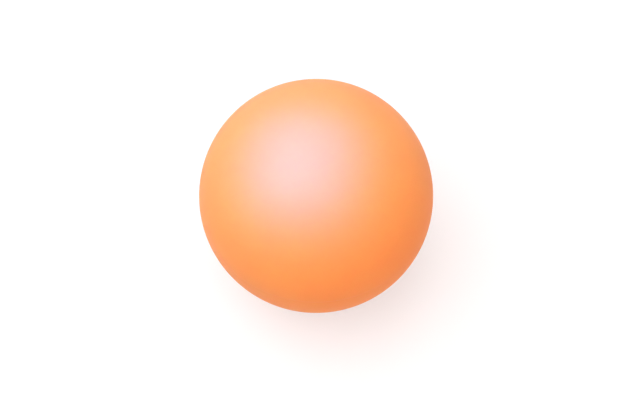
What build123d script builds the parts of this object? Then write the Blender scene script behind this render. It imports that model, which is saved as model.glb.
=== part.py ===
from build123d import *
import math
import os

# Table tennis ball: two moulded half shells, one with a tongue and one with a socket, cemented
# together at the seam. It is hollow, sealed and has no moving parts.
# Frame: the origin is the ball's centre, +Z runs through the upper pole, and the seam lies in XY.
# All lengths are in millimetres. A point of a section is (distance from the Z axis, height).

# Driving dimensions
ball_diameter = 40.0  # the size that the sport's laws set
wall = 0.46  # moulded wall, everywhere but near the seam
girth_wall = 0.91  # wall at the seam, thicker because tongue and socket share it
seam_width = 0.10  # cement line between the two rims, the only part of the joint seen from outside
cement_film = 0.05  # cement between tongue and socket
tongue_length = 1.20  # reach of the upper half into the lower one, below the seam plane
tongue_lead_in = 0.12  # chamfer that lets the tongue find its socket
bead_width = 0.40  # cement squeezed out inside the ball, along the wall
bead_height = 0.16  # the same, standing off the wall
gate_radius = 1.0  # disc left inside each pole where the plastic entered the mould
gate_height = 0.14
plastic_density = 1.05e-3  # g/mm3, for both shells and the cement, which is the same plastic in solvent

# Worked out from them
outer_radius = ball_diameter / 2
inner_radius = outer_radius - wall
girth_radius = outer_radius - girth_wall  # straight inside of the girth, so that the core pulls out
half_seam = seam_width / 2
tongue_radius = outer_radius - (girth_wall + cement_film) / 2
socket_radius = tongue_radius + cement_film
socket_depth = tongue_length + cement_film


def rise(sphere_radius, distance):
    """Height above the seam plane of a sphere's surface, at a distance from the Z axis."""
    return math.sqrt(sphere_radius**2 - distance**2)


def turned(outline):
    """A full turn about Z of a closed outline drawn in the XZ plane."""
    section = make_face(Plane.XZ * outline)
    return revolve(section, Axis.Z)


def sphere_arc(sphere_radius, start, end):
    """The short arc of a sphere's section between two of its points."""
    return RadiusArc(start, end, sphere_radius, short_sagitta=True)


def closed(edges):
    """Those edges as one outline."""
    return Curve() + edges


def dome_edges(side):
    """Rim, outside, gate disc and inside of a half shell, from its rim down to the end of its girth.
    side is +1 for the upper half and -1 for the lower one."""
    rim = (rise(outer_radius, half_seam), side * half_seam)
    pole = (0, side * outer_radius)
    gate_face = side * (inner_radius - gate_height)
    gate_foot = (gate_radius, side * rise(inner_radius, gate_radius))
    girth_end = (girth_radius, side * rise(inner_radius, girth_radius))
    turn = -side
    return [
        sphere_arc(turn * outer_radius, rim, pole),
        Polyline(pole, (0, gate_face), (gate_radius, gate_face), gate_foot),
        sphere_arc(-turn * inner_radius, gate_foot, girth_end),
    ], rim, girth_end


def upper_half_shell():
    """The half with the tongue, which is the inner half of its wall carried past the seam plane."""
    edges, rim, girth_end = dome_edges(+1)
    tongue = Polyline(
        girth_end,
        (girth_radius, -tongue_length),
        (tongue_radius - tongue_lead_in, -tongue_length),
        (tongue_radius, -tongue_length + tongue_lead_in),
        (tongue_radius, half_seam),
        rim,
    )
    return turned(closed([*edges, tongue]))


def lower_half_shell():
    """The half with the socket, where the inner half of the wall is cut back for the tongue."""
    edges, rim, girth_end = dome_edges(-1)
    socket = Polyline(
        girth_end,
        (girth_radius, -socket_depth),
        (socket_radius, -socket_depth),
        (socket_radius, -half_seam),
        rim,
    )
    return turned(closed([*edges, socket]))


def seam_cement():
    """One ring of cement that fills the joint: the line between the rims, the film round the tongue,
    the step under it, and a low bead on the inside of the ball."""
    rim = rise(outer_radius, half_seam)
    joint_middle = -(tongue_length + socket_depth) / 2
    bead_top = (girth_radius, joint_middle + bead_width / 2)
    bead_foot = (girth_radius, joint_middle - bead_width / 2)
    seam_line = sphere_arc(outer_radius, (rim, half_seam), (rim, -half_seam))
    under_tongue = Polyline(
        (rim, -half_seam),
        (socket_radius, -half_seam),
        (socket_radius, -socket_depth),
        (girth_radius, -socket_depth),
        bead_foot,
    )
    bead = ThreePointArc(bead_foot, (girth_radius - bead_height, joint_middle), bead_top)
    round_tongue = Polyline(
        bead_top,
        (girth_radius, -tongue_length),
        (tongue_radius - tongue_lead_in, -tongue_length),
        (tongue_radius, -tongue_length + tongue_lead_in),
        (tongue_radius, half_seam),
        (rim, half_seam),
    )
    return turned(closed([seam_line, under_tongue, bead, round_tongue]))


nodes = {
    "upper_half_shell": upper_half_shell(),
    "lower_half_shell": lower_half_shell(),
    "seam_cement": seam_cement(),
}

os.makedirs("parts", exist_ok=True)
for name, shape in nodes.items():
    export_step(shape, f"parts/{name}.step")

mass = sum(shape.volume for shape in nodes.values()) * plastic_density
print(f"mass of the assembled ball: {mass:.3f} g")
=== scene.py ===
import bmesh
import bpy
from math import asin, pi, radians, sqrt
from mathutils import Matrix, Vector


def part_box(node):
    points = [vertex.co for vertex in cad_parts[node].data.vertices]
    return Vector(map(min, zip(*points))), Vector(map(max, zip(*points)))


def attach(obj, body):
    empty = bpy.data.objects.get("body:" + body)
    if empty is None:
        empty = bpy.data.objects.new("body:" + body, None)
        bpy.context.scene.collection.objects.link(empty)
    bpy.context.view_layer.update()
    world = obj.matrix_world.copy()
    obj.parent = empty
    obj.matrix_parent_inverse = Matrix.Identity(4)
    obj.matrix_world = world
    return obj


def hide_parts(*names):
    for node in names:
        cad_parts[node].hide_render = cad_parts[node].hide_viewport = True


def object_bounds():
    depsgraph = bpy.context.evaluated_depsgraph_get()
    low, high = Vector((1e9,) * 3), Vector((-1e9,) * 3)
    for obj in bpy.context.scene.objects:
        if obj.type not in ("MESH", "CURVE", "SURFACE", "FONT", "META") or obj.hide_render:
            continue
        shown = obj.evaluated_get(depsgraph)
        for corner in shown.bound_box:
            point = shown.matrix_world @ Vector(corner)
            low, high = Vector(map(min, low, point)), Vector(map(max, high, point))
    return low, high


# A table tennis ball: two satin orange half shells, lapped and cemented at a seam round the middle.
# All sizes are in metres, in the frame's own axes. The ball's centre is the origin and its seam lies level.

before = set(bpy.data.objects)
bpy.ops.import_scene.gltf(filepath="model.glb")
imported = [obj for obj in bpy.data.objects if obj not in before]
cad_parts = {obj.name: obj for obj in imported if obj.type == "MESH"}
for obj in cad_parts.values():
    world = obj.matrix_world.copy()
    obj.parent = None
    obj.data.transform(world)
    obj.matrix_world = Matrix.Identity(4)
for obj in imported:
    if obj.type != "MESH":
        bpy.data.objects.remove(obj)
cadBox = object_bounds()
mm = 0.001

ballBottom, ballTop = cadBox[0].z, cadBox[1].z
ballRadius = (ballTop - ballBottom) / 2
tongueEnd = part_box("upper_half_shell")[0].z  # the tongue reaches this far past the seam
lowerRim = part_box("lower_half_shell")[1].z  # half the cement line lies above the lower half's rim
print("frame loaded: ball radius", round(ballRadius / mm, 3), "mm")


def lineTo(section, corner, x, z):
    # draws a straight edge of a section, in the XZ plane
    new = bmesh.ops.extrude_vert_indiv(section, verts=[corner])["verts"][0]
    new.co = (x, 0, z)
    return new


def arcTo(section, corner, angle, steps, centre=(0, 0, 0)):
    # swings a corner about a centre; a positive angle goes from +Z to +X to -Z
    swung = bmesh.ops.spin(section, geom=[corner], cent=centre, axis=(0, 1, 0), angle=angle,
                           steps=steps, use_duplicate=False)
    return swung["geom_last"][0]


def roundCorner(section, corner, radius, segments=3):
    bmesh.ops.bevel(section, geom=[corner], offset=radius, offset_type="OFFSET", segments=segments,
                    profile=0.5, affect="VERTICES", material=-1)


def rise(sphereRadius, x):
    # height of a sphere's section at a distance from the Z axis
    return sqrt(sphereRadius ** 2 - x ** 2)


turned = {
    "steps": 240,  # faces round the ball
    "weld": 0.0001 * mm,  # closes the poles
    "sharpAngle": radians(32),  # edges that turn by more stay crisp
}


def turnSection(section, name):
    # one full turn about Z, closed at the poles, with its faces pointing outwards
    bmesh.ops.spin(section, geom=section.verts[:] + section.edges[:], cent=(0, 0, 0), axis=(0, 0, 1),
                   angle=2 * pi, steps=turned["steps"], use_merge=True, use_duplicate=False)
    bmesh.ops.remove_doubles(section, verts=section.verts, dist=turned["weld"])
    bmesh.ops.recalc_face_normals(section, faces=section.faces)
    for face in section.faces:
        face.smooth = True
    for edge in section.edges:
        edge.smooth = edge.calc_face_angle(pi) < turned["sharpAngle"]
    mesh = bpy.data.meshes.new(name)
    section.to_mesh(mesh)
    section.free()
    piece = bpy.data.objects.new(name, mesh)
    bpy.context.collection.objects.link(piece)
    return piece


shell = {
    "wall": 0.46 * mm,
    "girthWall": 0.91 * mm,  # thicker at the seam, where tongue and socket share it
    "cementFilm": 0.05 * mm,
    "gateRadius": 1.0 * mm,  # disc inside each pole, where the plastic came in
    "gateHeight": 0.14 * mm,
    "leadIn": 0.12 * mm,  # chamfer at the tongue's tip
    "rimRound": 0.04 * mm,
    "cornerRound": 0.05 * mm,
    "outerSteps": 96,
    "innerSteps": 64,
}
innerRadius = ballRadius - shell["wall"]
girthRadius = ballRadius - shell["girthWall"]
tongueRadius = ballRadius - (shell["girthWall"] + shell["cementFilm"]) / 2
socketRadius = tongueRadius + shell["cementFilm"]
socketEnd = tongueEnd - shell["cementFilm"]
halfSeam = -lowerRim


def makeHalfShell(name, side, joint, rounded):
    # side is 1 for the upper half and -1 for the lower; joint lists the corners from girth to rim
    gateRadius = shell["gateRadius"]
    gateFace = innerRadius - shell["gateHeight"]
    section = bmesh.new()
    pole = section.verts.new((0, 0, side * gateFace))
    gateEdge = lineTo(section, pole, gateRadius, side * gateFace)
    gateFoot = lineTo(section, gateEdge, gateRadius, side * rise(innerRadius, gateRadius))
    sweep = asin(girthRadius / innerRadius) - asin(gateRadius / innerRadius)
    corner = arcTo(section, gateFoot, side * sweep, shell["innerSteps"])
    corners = []
    for x, z in joint:
        corner = lineTo(section, corner, x, z)
        corners.append(corner)
    arcTo(section, corner, side * (asin(halfSeam / ballRadius) - pi / 2), shell["outerSteps"])
    roundCorner(section, corners[-1], shell["rimRound"])
    for place in rounded:
        roundCorner(section, corners[place], shell["cornerRound"])
    roundCorner(section, gateEdge, shell["cornerRound"])
    return turnSection(section, name)


rimRadius = rise(ballRadius, halfSeam)
upperShell = makeHalfShell("upperHalfShell", 1, [
    (girthRadius, tongueEnd),
    (tongueRadius - shell["leadIn"], tongueEnd),
    (tongueRadius, tongueEnd + shell["leadIn"]),
    (tongueRadius, halfSeam),
    (rimRadius, halfSeam),
], rounded=[0])
lowerShell = makeHalfShell("lowerHalfShell", -1, [
    (girthRadius, socketEnd),
    (socketRadius, socketEnd),
    (socketRadius, -halfSeam),
    (rimRadius, -halfSeam),
], rounded=[])
print("half shells turned")


cement = {
    "sunk": 0.02 * mm,  # the cement shrinks a little below the rims as it dries
    "beadWidth": 0.40 * mm,  # squeezed out inside the ball
    "beadHeight": 0.16 * mm,
    "beadSteps": 12,
}


def makeCement(name):
    face = rimRadius - cement["sunk"]
    middle = (tongueEnd + socketEnd) / 2
    halfBead = cement["beadWidth"] / 2
    # the bead's section is one arc, from foot to crest to foot
    beadRadius = (halfBead ** 2 + cement["beadHeight"] ** 2) / (2 * cement["beadHeight"])
    beadCentre = (girthRadius + beadRadius - cement["beadHeight"], 0, middle)
    section = bmesh.new()
    first = section.verts.new((face, 0, halfSeam))
    corner = lineTo(section, first, face, -halfSeam)
    corner = lineTo(section, corner, socketRadius, -halfSeam)
    corner = lineTo(section, corner, socketRadius, socketEnd)
    corner = lineTo(section, corner, girthRadius, socketEnd)
    foot = lineTo(section, corner, girthRadius, middle - halfBead)
    top = arcTo(section, foot, 2 * asin(halfBead / beadRadius), cement["beadSteps"], beadCentre)
    corner = lineTo(section, top, girthRadius, tongueEnd)
    corner = lineTo(section, corner, tongueRadius - shell["leadIn"], tongueEnd)
    corner = lineTo(section, corner, tongueRadius, tongueEnd + shell["leadIn"])
    corner = lineTo(section, corner, tongueRadius, halfSeam)
    section.edges.new((corner, first))
    return turnSection(section, name)


seamCement = makeCement("seamCement")
print("seam cement turned")


def addNode(tree, kind, inputs=None, **settings):
    # inputs maps a socket's name or number to a value or to another node's output
    node = tree.nodes.new(kind)
    for name, value in settings.items():
        setattr(node, name, value)
    for name, value in (inputs or {}).items():
        if isinstance(value, bpy.types.NodeSocket):
            tree.links.new(value, node.inputs[name])
        else:
            node.inputs[name].default_value = value
    return node


def addNoise(tree, place, size, detail=2.0, roughness=0.5):
    # size is the pattern's own, in metres
    return addNode(tree, "ShaderNodeTexNoise", {
        "Vector": place, "Scale": 1 / size, "Detail": detail, "Roughness": roughness,
    }).outputs["Fac"]


def addRange(tree, value, low, high, toLow, toHigh):
    return addNode(tree, "ShaderNodeMapRange", {
        "Value": value, "From Min": low, "From Max": high, "To Min": toLow, "To Max": toHigh,
    }).outputs["Result"]


def addMix(tree, factor, first, second):
    mix = addNode(tree, "ShaderNodeMix", data_type="RGBA")
    for socket, value in ((mix.inputs[0], factor), (mix.inputs[6], first), (mix.inputs[7], second)):
        if isinstance(value, bpy.types.NodeSocket):
            tree.links.new(value, socket)
        else:
            socket.default_value = value
    return mix.outputs[2]


def addMath(tree, operation, first, second):
    return addNode(tree, "ShaderNodeMath", {0: first, 1: second}, operation=operation).outputs[0]


def opaque(colour):
    return (*colour, 1.0)


orangePlastic = {
    "orange": (0.96, 0.415, 0.058),
    "deepOrange": (0.94, 0.385, 0.051),  # where the pigment lies thicker
    "speck": (0.88, 0.31, 0.040),  # grains of pigment
    "cloudSize": 11 * mm,
    "cloudFrom": 0.35,  # the noise between these two fades the deeper orange in
    "cloudFull": 0.70,
    "cloudStrength": 0.8,
    "speckSize": 0.16 * mm,
    "speckFrom": 0.58,
    "speckFull": 0.76,
    "speckStrength": 0.35,
    "roughness": 0.58,
    "unevenFrom": 0.3,  # the noise between these two takes the roughness from smoother to rougher
    "unevenFull": 0.7,
    "smoother": -0.02,
    "rougher": 0.03,
    "buffed": -0.06,  # smoother at the seam, where the joint is polished down
    "buffedBand": 0.5 * mm,  # half the width of that
    "refraction": 1.5,
    "gloss": 0.50,
    "subsurface": 0.35,
    "scatter": (1.0, 0.30, 0.10),  # red light travels furthest in the plastic
    "scatterDepth": 0.6 * mm,
    "grainSize": 0.12 * mm,  # a fine frosted texture
    "grainHeight": 0.006 * mm,
    "rippleSize": 1.6 * mm,
    "rippleHeight": 0.006 * mm,
}


def makePlastic(name, finish):
    material = bpy.data.materials.new(name)
    material.use_nodes = True
    tree = material.node_tree
    shader = tree.nodes["Principled BSDF"]
    place = addNode(tree, "ShaderNodeTexCoord").outputs["Object"]

    clouds = addNoise(tree, place, finish["cloudSize"], detail=3.0)
    specks = addNoise(tree, place, finish["speckSize"], detail=1.0)
    thicker = addRange(tree, clouds, finish["cloudFrom"], finish["cloudFull"], 0.0, finish["cloudStrength"])
    clouded = addMix(tree, thicker, opaque(finish["orange"]), opaque(finish["deepOrange"]))
    dots = addRange(tree, specks, finish["speckFrom"], finish["speckFull"], 0.0, finish["speckStrength"])
    speckled = addMix(tree, dots, clouded, opaque(finish["speck"]))
    tree.links.new(speckled, shader.inputs["Base Color"])

    height = addNode(tree, "ShaderNodeSeparateXYZ", {0: place}).outputs["Z"]
    fromSeam = addMath(tree, "ABSOLUTE", height, 0.0)
    polish = addRange(tree, fromSeam, 0.0, finish["buffedBand"], finish["buffed"], 0.0)
    uneven = addRange(tree, clouds, finish["unevenFrom"], finish["unevenFull"],
                      finish["smoother"], finish["rougher"])
    rough = addMath(tree, "ADD", addMath(tree, "ADD", polish, uneven), finish["roughness"])
    tree.links.new(rough, shader.inputs["Roughness"])

    grain = addNoise(tree, place, finish["grainSize"], detail=2.0)
    ripple = addNoise(tree, place, finish["rippleSize"], detail=1.0)
    rippled = addNode(tree, "ShaderNodeBump", {"Height": ripple, "Distance": finish["rippleHeight"]})
    grained = addNode(tree, "ShaderNodeBump", {
        "Height": grain, "Distance": finish["grainHeight"], "Normal": rippled.outputs[0],
    })
    tree.links.new(grained.outputs[0], shader.inputs["Normal"])

    shader.inputs["IOR"].default_value = finish["refraction"]
    shader.inputs["Specular IOR Level"].default_value = finish["gloss"]
    shader.inputs["Subsurface Weight"].default_value = finish["subsurface"]
    shader.inputs["Subsurface Radius"].default_value = finish["scatter"]
    shader.inputs["Subsurface Scale"].default_value = finish["scatterDepth"]
    return material


shellPlastic = makePlastic("orangeShellPlastic", orangePlastic)
cementPlastic = makePlastic("driedSeamCement", {
    **orangePlastic, "orange": (0.94, 0.36, 0.055), "deepOrange": (0.92, 0.33, 0.048),
    "speck": (0.88, 0.29, 0.040), "roughness": 0.45,
})
pieces = (
    (upperShell, "upper_half_shell", shellPlastic, "orange_shell"),
    (lowerShell, "lower_half_shell", shellPlastic, "orange_shell"),
    (seamCement, "seam_cement", cementPlastic, "seam_cement"),
)
for piece, node, material, slot in pieces:
    piece.data.materials.append(material)
    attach(piece, "root")
    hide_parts(node)
print("pieces finished:", len(pieces))


studio = {
    "worldLevel": 0.38,
    "horizon": (1.50, 0.36, 0.15),  # the world's warmer light from low down
    "horizonEnd": 0.5,  # sine of the height at which the warmth has faded out
    "floorSize": 8.0,
    "floorColour": (0.42, 0.42, 0.42),
    "floorRoughness": 0.9,
    "floorGlow": 0.62,  # share of the backdrop's plain white that is seen in the floor near the ball
    "glowFrom": 0.10,  # further out the floor fades to that white
    "glowFull": 0.60,
}
white = (1.0, 1.0, 1.0)


def seenDirectly(tree):
    # 1 for what the camera sees itself, in a reflection or through glass, and 0 for light on the ball
    rays = addNode(tree, "ShaderNodeLightPath").outputs
    mirrored = addMath(tree, "MAXIMUM", rays["Is Glossy Ray"], rays["Is Transmission Ray"])
    return addMath(tree, "MAXIMUM", rays["Is Camera Ray"], mirrored)


def makeWorld():
    # lights the ball at a plain level, warmer near the horizon, and shows as white behind it
    world = bpy.data.worlds.new("studio")
    world.use_nodes = True
    tree = world.node_tree
    light = tree.nodes["Background"]
    upwards = addNode(tree, "ShaderNodeTexCoord").outputs["Generated"]
    height = addNode(tree, "ShaderNodeSeparateXYZ", {0: upwards}).outputs["Z"]
    above = addRange(tree, height, 0.0, studio["horizonEnd"], 0.0, 1.0)
    plain = (studio["worldLevel"],) * 3
    warmBelow = addMix(tree, above, opaque(studio["horizon"]), opaque(plain))
    tree.links.new(warmBelow, light.inputs["Color"])
    light.inputs["Strength"].default_value = 1.0
    backdrop = addNode(tree, "ShaderNodeBackground", {"Color": opaque(white), "Strength": 1.0})
    both = addNode(tree, "ShaderNodeMixShader", {
        0: seenDirectly(tree), 1: light.outputs[0], 2: backdrop.outputs[0],
    })
    tree.links.new(both.outputs[0], tree.nodes["World Output"].inputs["Surface"])
    bpy.context.scene.world = world


def makeFloor():
    disc = bmesh.new()
    bmesh.ops.create_circle(disc, cap_ends=True, segments=96, radius=studio["floorSize"] / 2)
    bmesh.ops.translate(disc, verts=disc.verts, vec=(0, 0, ballBottom))
    mesh = bpy.data.meshes.new("floor")
    disc.to_mesh(mesh)
    disc.free()
    floor = bpy.data.objects.new("floor", mesh)
    bpy.context.collection.objects.link(floor)
    material = bpy.data.materials.new("paleFloor")
    material.use_nodes = True
    tree = material.node_tree
    paint = tree.nodes["Principled BSDF"]
    paint.inputs["Base Color"].default_value = opaque(studio["floorColour"])
    paint.inputs["Roughness"].default_value = studio["floorRoughness"]
    paint.inputs["Specular IOR Level"].default_value = 0.0
    place = addNode(tree, "ShaderNodeTexCoord").outputs["Object"]
    away = addNode(tree, "ShaderNodeVectorMath", {0: place}, operation="LENGTH").outputs["Value"]
    fade = addRange(tree, away, studio["glowFrom"], studio["glowFull"], studio["floorGlow"], 1.0)
    glow = addMath(tree, "MULTIPLY", seenDirectly(tree), fade)
    shine = addNode(tree, "ShaderNodeEmission", {"Color": opaque(white), "Strength": glow})
    both = addNode(tree, "ShaderNodeAddShader", {0: paint.outputs[0], 1: shine.outputs[0]})
    tree.links.new(both.outputs[0], tree.nodes["Material Output"].inputs["Surface"])
    floor.data.materials.append(material)


makeWorld()
makeFloor()

lamps = {
    # the plain light on the ball
    "overheadSoftbox": {
        "place": (-0.15, 0.0, 0.52), "size": (0.60, 0.60), "watts": 3.3, "tint": white, "seen": "all",
    },
    # a weak glow from low in front
    "warmFill": {
        "place": (0.27, -0.48, 0.045), "size": (0.70, 0.12), "watts": 0.80, "tint": (1.0, 0.24, 0.12),
        "seen": "all",
    },
    # makes the highlight pink, and is kept small and high so that the sides stay orange
    "lilacSky": {
        "place": (-0.105, 0.020, 0.386), "size": (0.90, 0.84), "watts": 35.0, "tint": (0.90, 0.17, 1.0),
        "seen": "reflections",
    },
    # the pale core of the highlight
    "spot": {
        "place": (-0.223, 0.032, 0.447), "size": (0.10, 0.10), "watts": 1.6, "tint": (0.95, 0.85, 1.0),
        "seen": "reflections",
    },
}


def makeLamp(name, lamp):
    # a rectangle of light, which faces the ball's centre
    data = bpy.data.lights.new(name, "AREA")
    data.shape = "RECTANGLE"
    data.size, data.size_y = lamp["size"]
    data.energy = lamp["watts"]
    data.color = lamp["tint"]
    light = bpy.data.objects.new(name, data)
    light.location = lamp["place"]
    light.rotation_euler = (-Vector(lamp["place"])).to_track_quat("-Z", "Y").to_euler()
    light.visible_camera = False
    light.visible_diffuse = lamp["seen"] == "all"
    bpy.context.collection.objects.link(light)


for name, lamp in lamps.items():
    makeLamp(name, lamp)
print("studio lit")


view = {
    "elevation": radians(62),
    "distance": 0.2589,  # from the ball's centre
    "lens": 85,
    "sensor": 36,
    "aside": 0.66 * mm,  # the ball lies a little left of the middle
    "below": 0.70 * mm,  # and a little above it
}


def makeCamera():
    data = bpy.data.cameras.new("camera")
    data.lens = view["lens"]
    data.sensor_width = view["sensor"]
    camera = bpy.data.objects.new("camera", data)
    bpy.context.collection.objects.link(camera)
    camera.rotation_euler = (pi / 2 - view["elevation"], 0, 0)
    bpy.context.view_layer.update()
    turn = camera.matrix_world.to_3x3()
    camera.location = turn @ Vector((view["aside"], -view["below"], view["distance"]))
    bpy.context.scene.camera = camera


makeCamera()
bpy.context.scene.view_settings.view_transform = "Standard"
